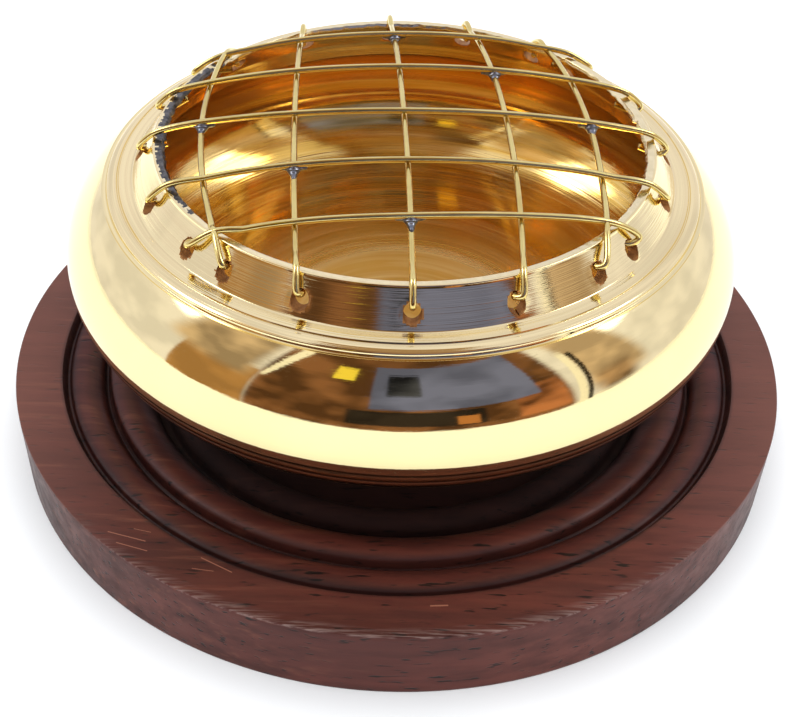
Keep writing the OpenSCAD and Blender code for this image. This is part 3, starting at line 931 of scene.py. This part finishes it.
def make_room():
    """What the polished brass reflects: a dim room in front, white paper and daylight elsewhere."""
    band("room_wall", -48, 56, -3, 66, 1400, (0.21, 0.095, 0.045), 1.0, 0.03, 0.55)
    band("room_shelf", -16, 28, 3, 19, 1300, (0.032, 0.024, 0.020), 1.0, 0.05, 0.4)
    band("room_chest", 36, 54, 0, 30, 1290, (0.42, 0.16, 0.07), 1.0, 0.1, 0.7)
    band("room_door", 18, 25, 4, 13, 1280, (0.55, 0.22, 0.07), 1.0, 0.05)
    band("room_left_tan", -74, -46, -36, 34, 1500, (0.46, 0.25, 0.10), 1.0, 0.05, 0.15)
    band("room_left_beige", -84, -46, 20, 64, 1440, (0.62, 0.47, 0.35), 1.0, 0.2, 0.4)
    band("room_right_beige", 59, 84, 0, 62, 1440, (0.72, 0.54, 0.40), 1.0, 0.2, 0.3)
    band("room_right_tan", 60, 80, -6, 22, 1420, (0.42, 0.27, 0.17), 1.0, 0.35, 0.5)
    band("room_grey", -9, 46, 20, 55, 1200, (0.165, 0.19, 0.40), 1.0, 0.02, 0.3)
    band("room_grey_dark", -4, 9, 32, 50, 1190, (0.05, 0.055, 0.085), 1.0, 0.1, 0.8)
    band("room_lamp", -24, -15, 42, 52, 1150, (1.0, 0.80, 0.10), 1.0, 0.1)
    band("room_daylight", -180, 180, 0, 78, 1750, (0.95, 0.94, 1.08), 0.97, 0.0, 0.12)
    band("room_ceiling", -62, 66, 63, 78, 1480, (0.30, 0.19, 0.13), 1.0, 0.15, 0.4)
    band("room_above", -180, 180, 76, 90, 1600, (0.42, 0.28, 0.17))
    for side in (-1, 1):
        band(f"side_lamp_{side}", side * 94 - 14, side * 94 + 14, 34, 60, 1430, (1.0, 1.0, 1.0), 8.0, 0.25)
    streak = (1.0, 0.97, 0.92)
    card("room_streak_left", [(-46, 28), (-44.5, 28), (-36, 60), (-42, 60)], 1100, streak, 1.1, 0.1)
    card("room_line_right", [(57, -9), (58.5, -9), (65, 40), (63, 40)], 1110, (0.02, 0.015, 0.01))
    card("room_streak_right", [(54, -9), (57, -9), (63, 44), (60, 44)], 1100, streak, 1.1, 0.1)


def make_stage():
    """A pale paper floor, a pale sky and three soft lamps."""
    floor = mesh_object("floor", [(-4000, -4000, 0), (4000, -4000, 0), (4000, 4000, 0), (-4000, 4000, 0)],
                        [(0, 1, 2, 3)], [0], [])
    paper = Nodes("paper")
    grain = paper.noise(paper.place, 40, 2)
    paper.set(Base_Color=paper.ramp(grain, [(0.3, (0.88, 0.89, 0.90)), (0.7, (0.90, 0.905, 0.91))]),
              Roughness=0.9, Specular_IOR_Level=0.2)
    floor.data.materials.append(paper.material)
    world = bpy.data.worlds.new("daylight")
    world.use_nodes = True
    sky = world.node_tree.nodes["Background"]
    sky.inputs["Color"].default_value = (0.97, 0.985, 1.0, 1)
    sky.inputs["Strength"].default_value = 1.22
    bpy.context.scene.world = world
    for name, where, size, energy in (("softbox_back", (0.25, 0.6, 1.3), 1.2, 5),
                                      ("softbox_left", (-0.9, -0.5, 1.0), 1.4, 4),
                                      ("softbox_front", (0.3, -1.1, 1.0), 1.4, 4)):
        light = bpy.data.lights.new(name, "AREA")
        light.size = size
        light.energy = energy
        lamp = bpy.data.objects.new(name, light)
        lamp.location = where
        lamp.rotation_euler = (Vector((0, 0, 0.03)) - lamp.location).to_track_quat("-Z", "Y").to_euler()
        lamp.visible_glossy = False
        bpy.context.scene.collection.objects.link(lamp)


def make_camera():
    """The photo's view, from its fitted distance, height, aim, heading and roll."""
    distance, height_deg, aim_deg, heading_deg, roll_deg = 245.6, 41.25, 39.6, -0.11, 1.98
    lens = bpy.data.cameras.new("camera")
    lens.sensor_width = 36
    lens.lens = 66.2
    lens.clip_start = 0.01
    camera = bpy.data.objects.new("camera", lens)
    e = math.radians(height_deg)
    camera.location = Vector((0, -math.cos(e), math.sin(e))) * distance * MM
    turn = Matrix.Rotation(math.radians(heading_deg), 3, "Z")
    tilt = Matrix.Rotation(math.radians(90 - aim_deg), 3, "X")
    roll = Matrix.Rotation(math.radians(roll_deg), 3, "Z")
    camera.rotation_euler = (turn @ tilt @ roll).to_euler()
    bpy.context.scene.collection.objects.link(camera)
    bpy.context.scene.camera = camera


def main():
    """Builds the stage, the coaster, the bowl and its screen."""
    make_camera()
    make_stage()
    make_room()
    make_coaster(dark_wood())
    make_bowl([brass_polished(), brass_turned(), brass_filed(), brass_inside(), filed_grey(),
               brass_drilled()])
    rows, columns = make_wires(brass_wire())
    solder = soft_solder()
    for number, (i, j) in enumerate(SOLDERED, 1):
        make_solder(number, rows[i - 1], columns[j - 1], solder)
    scene = bpy.context.scene
    scene.view_settings.view_transform = "Standard"
    scene.cycles.glossy_bounces = 8


main()
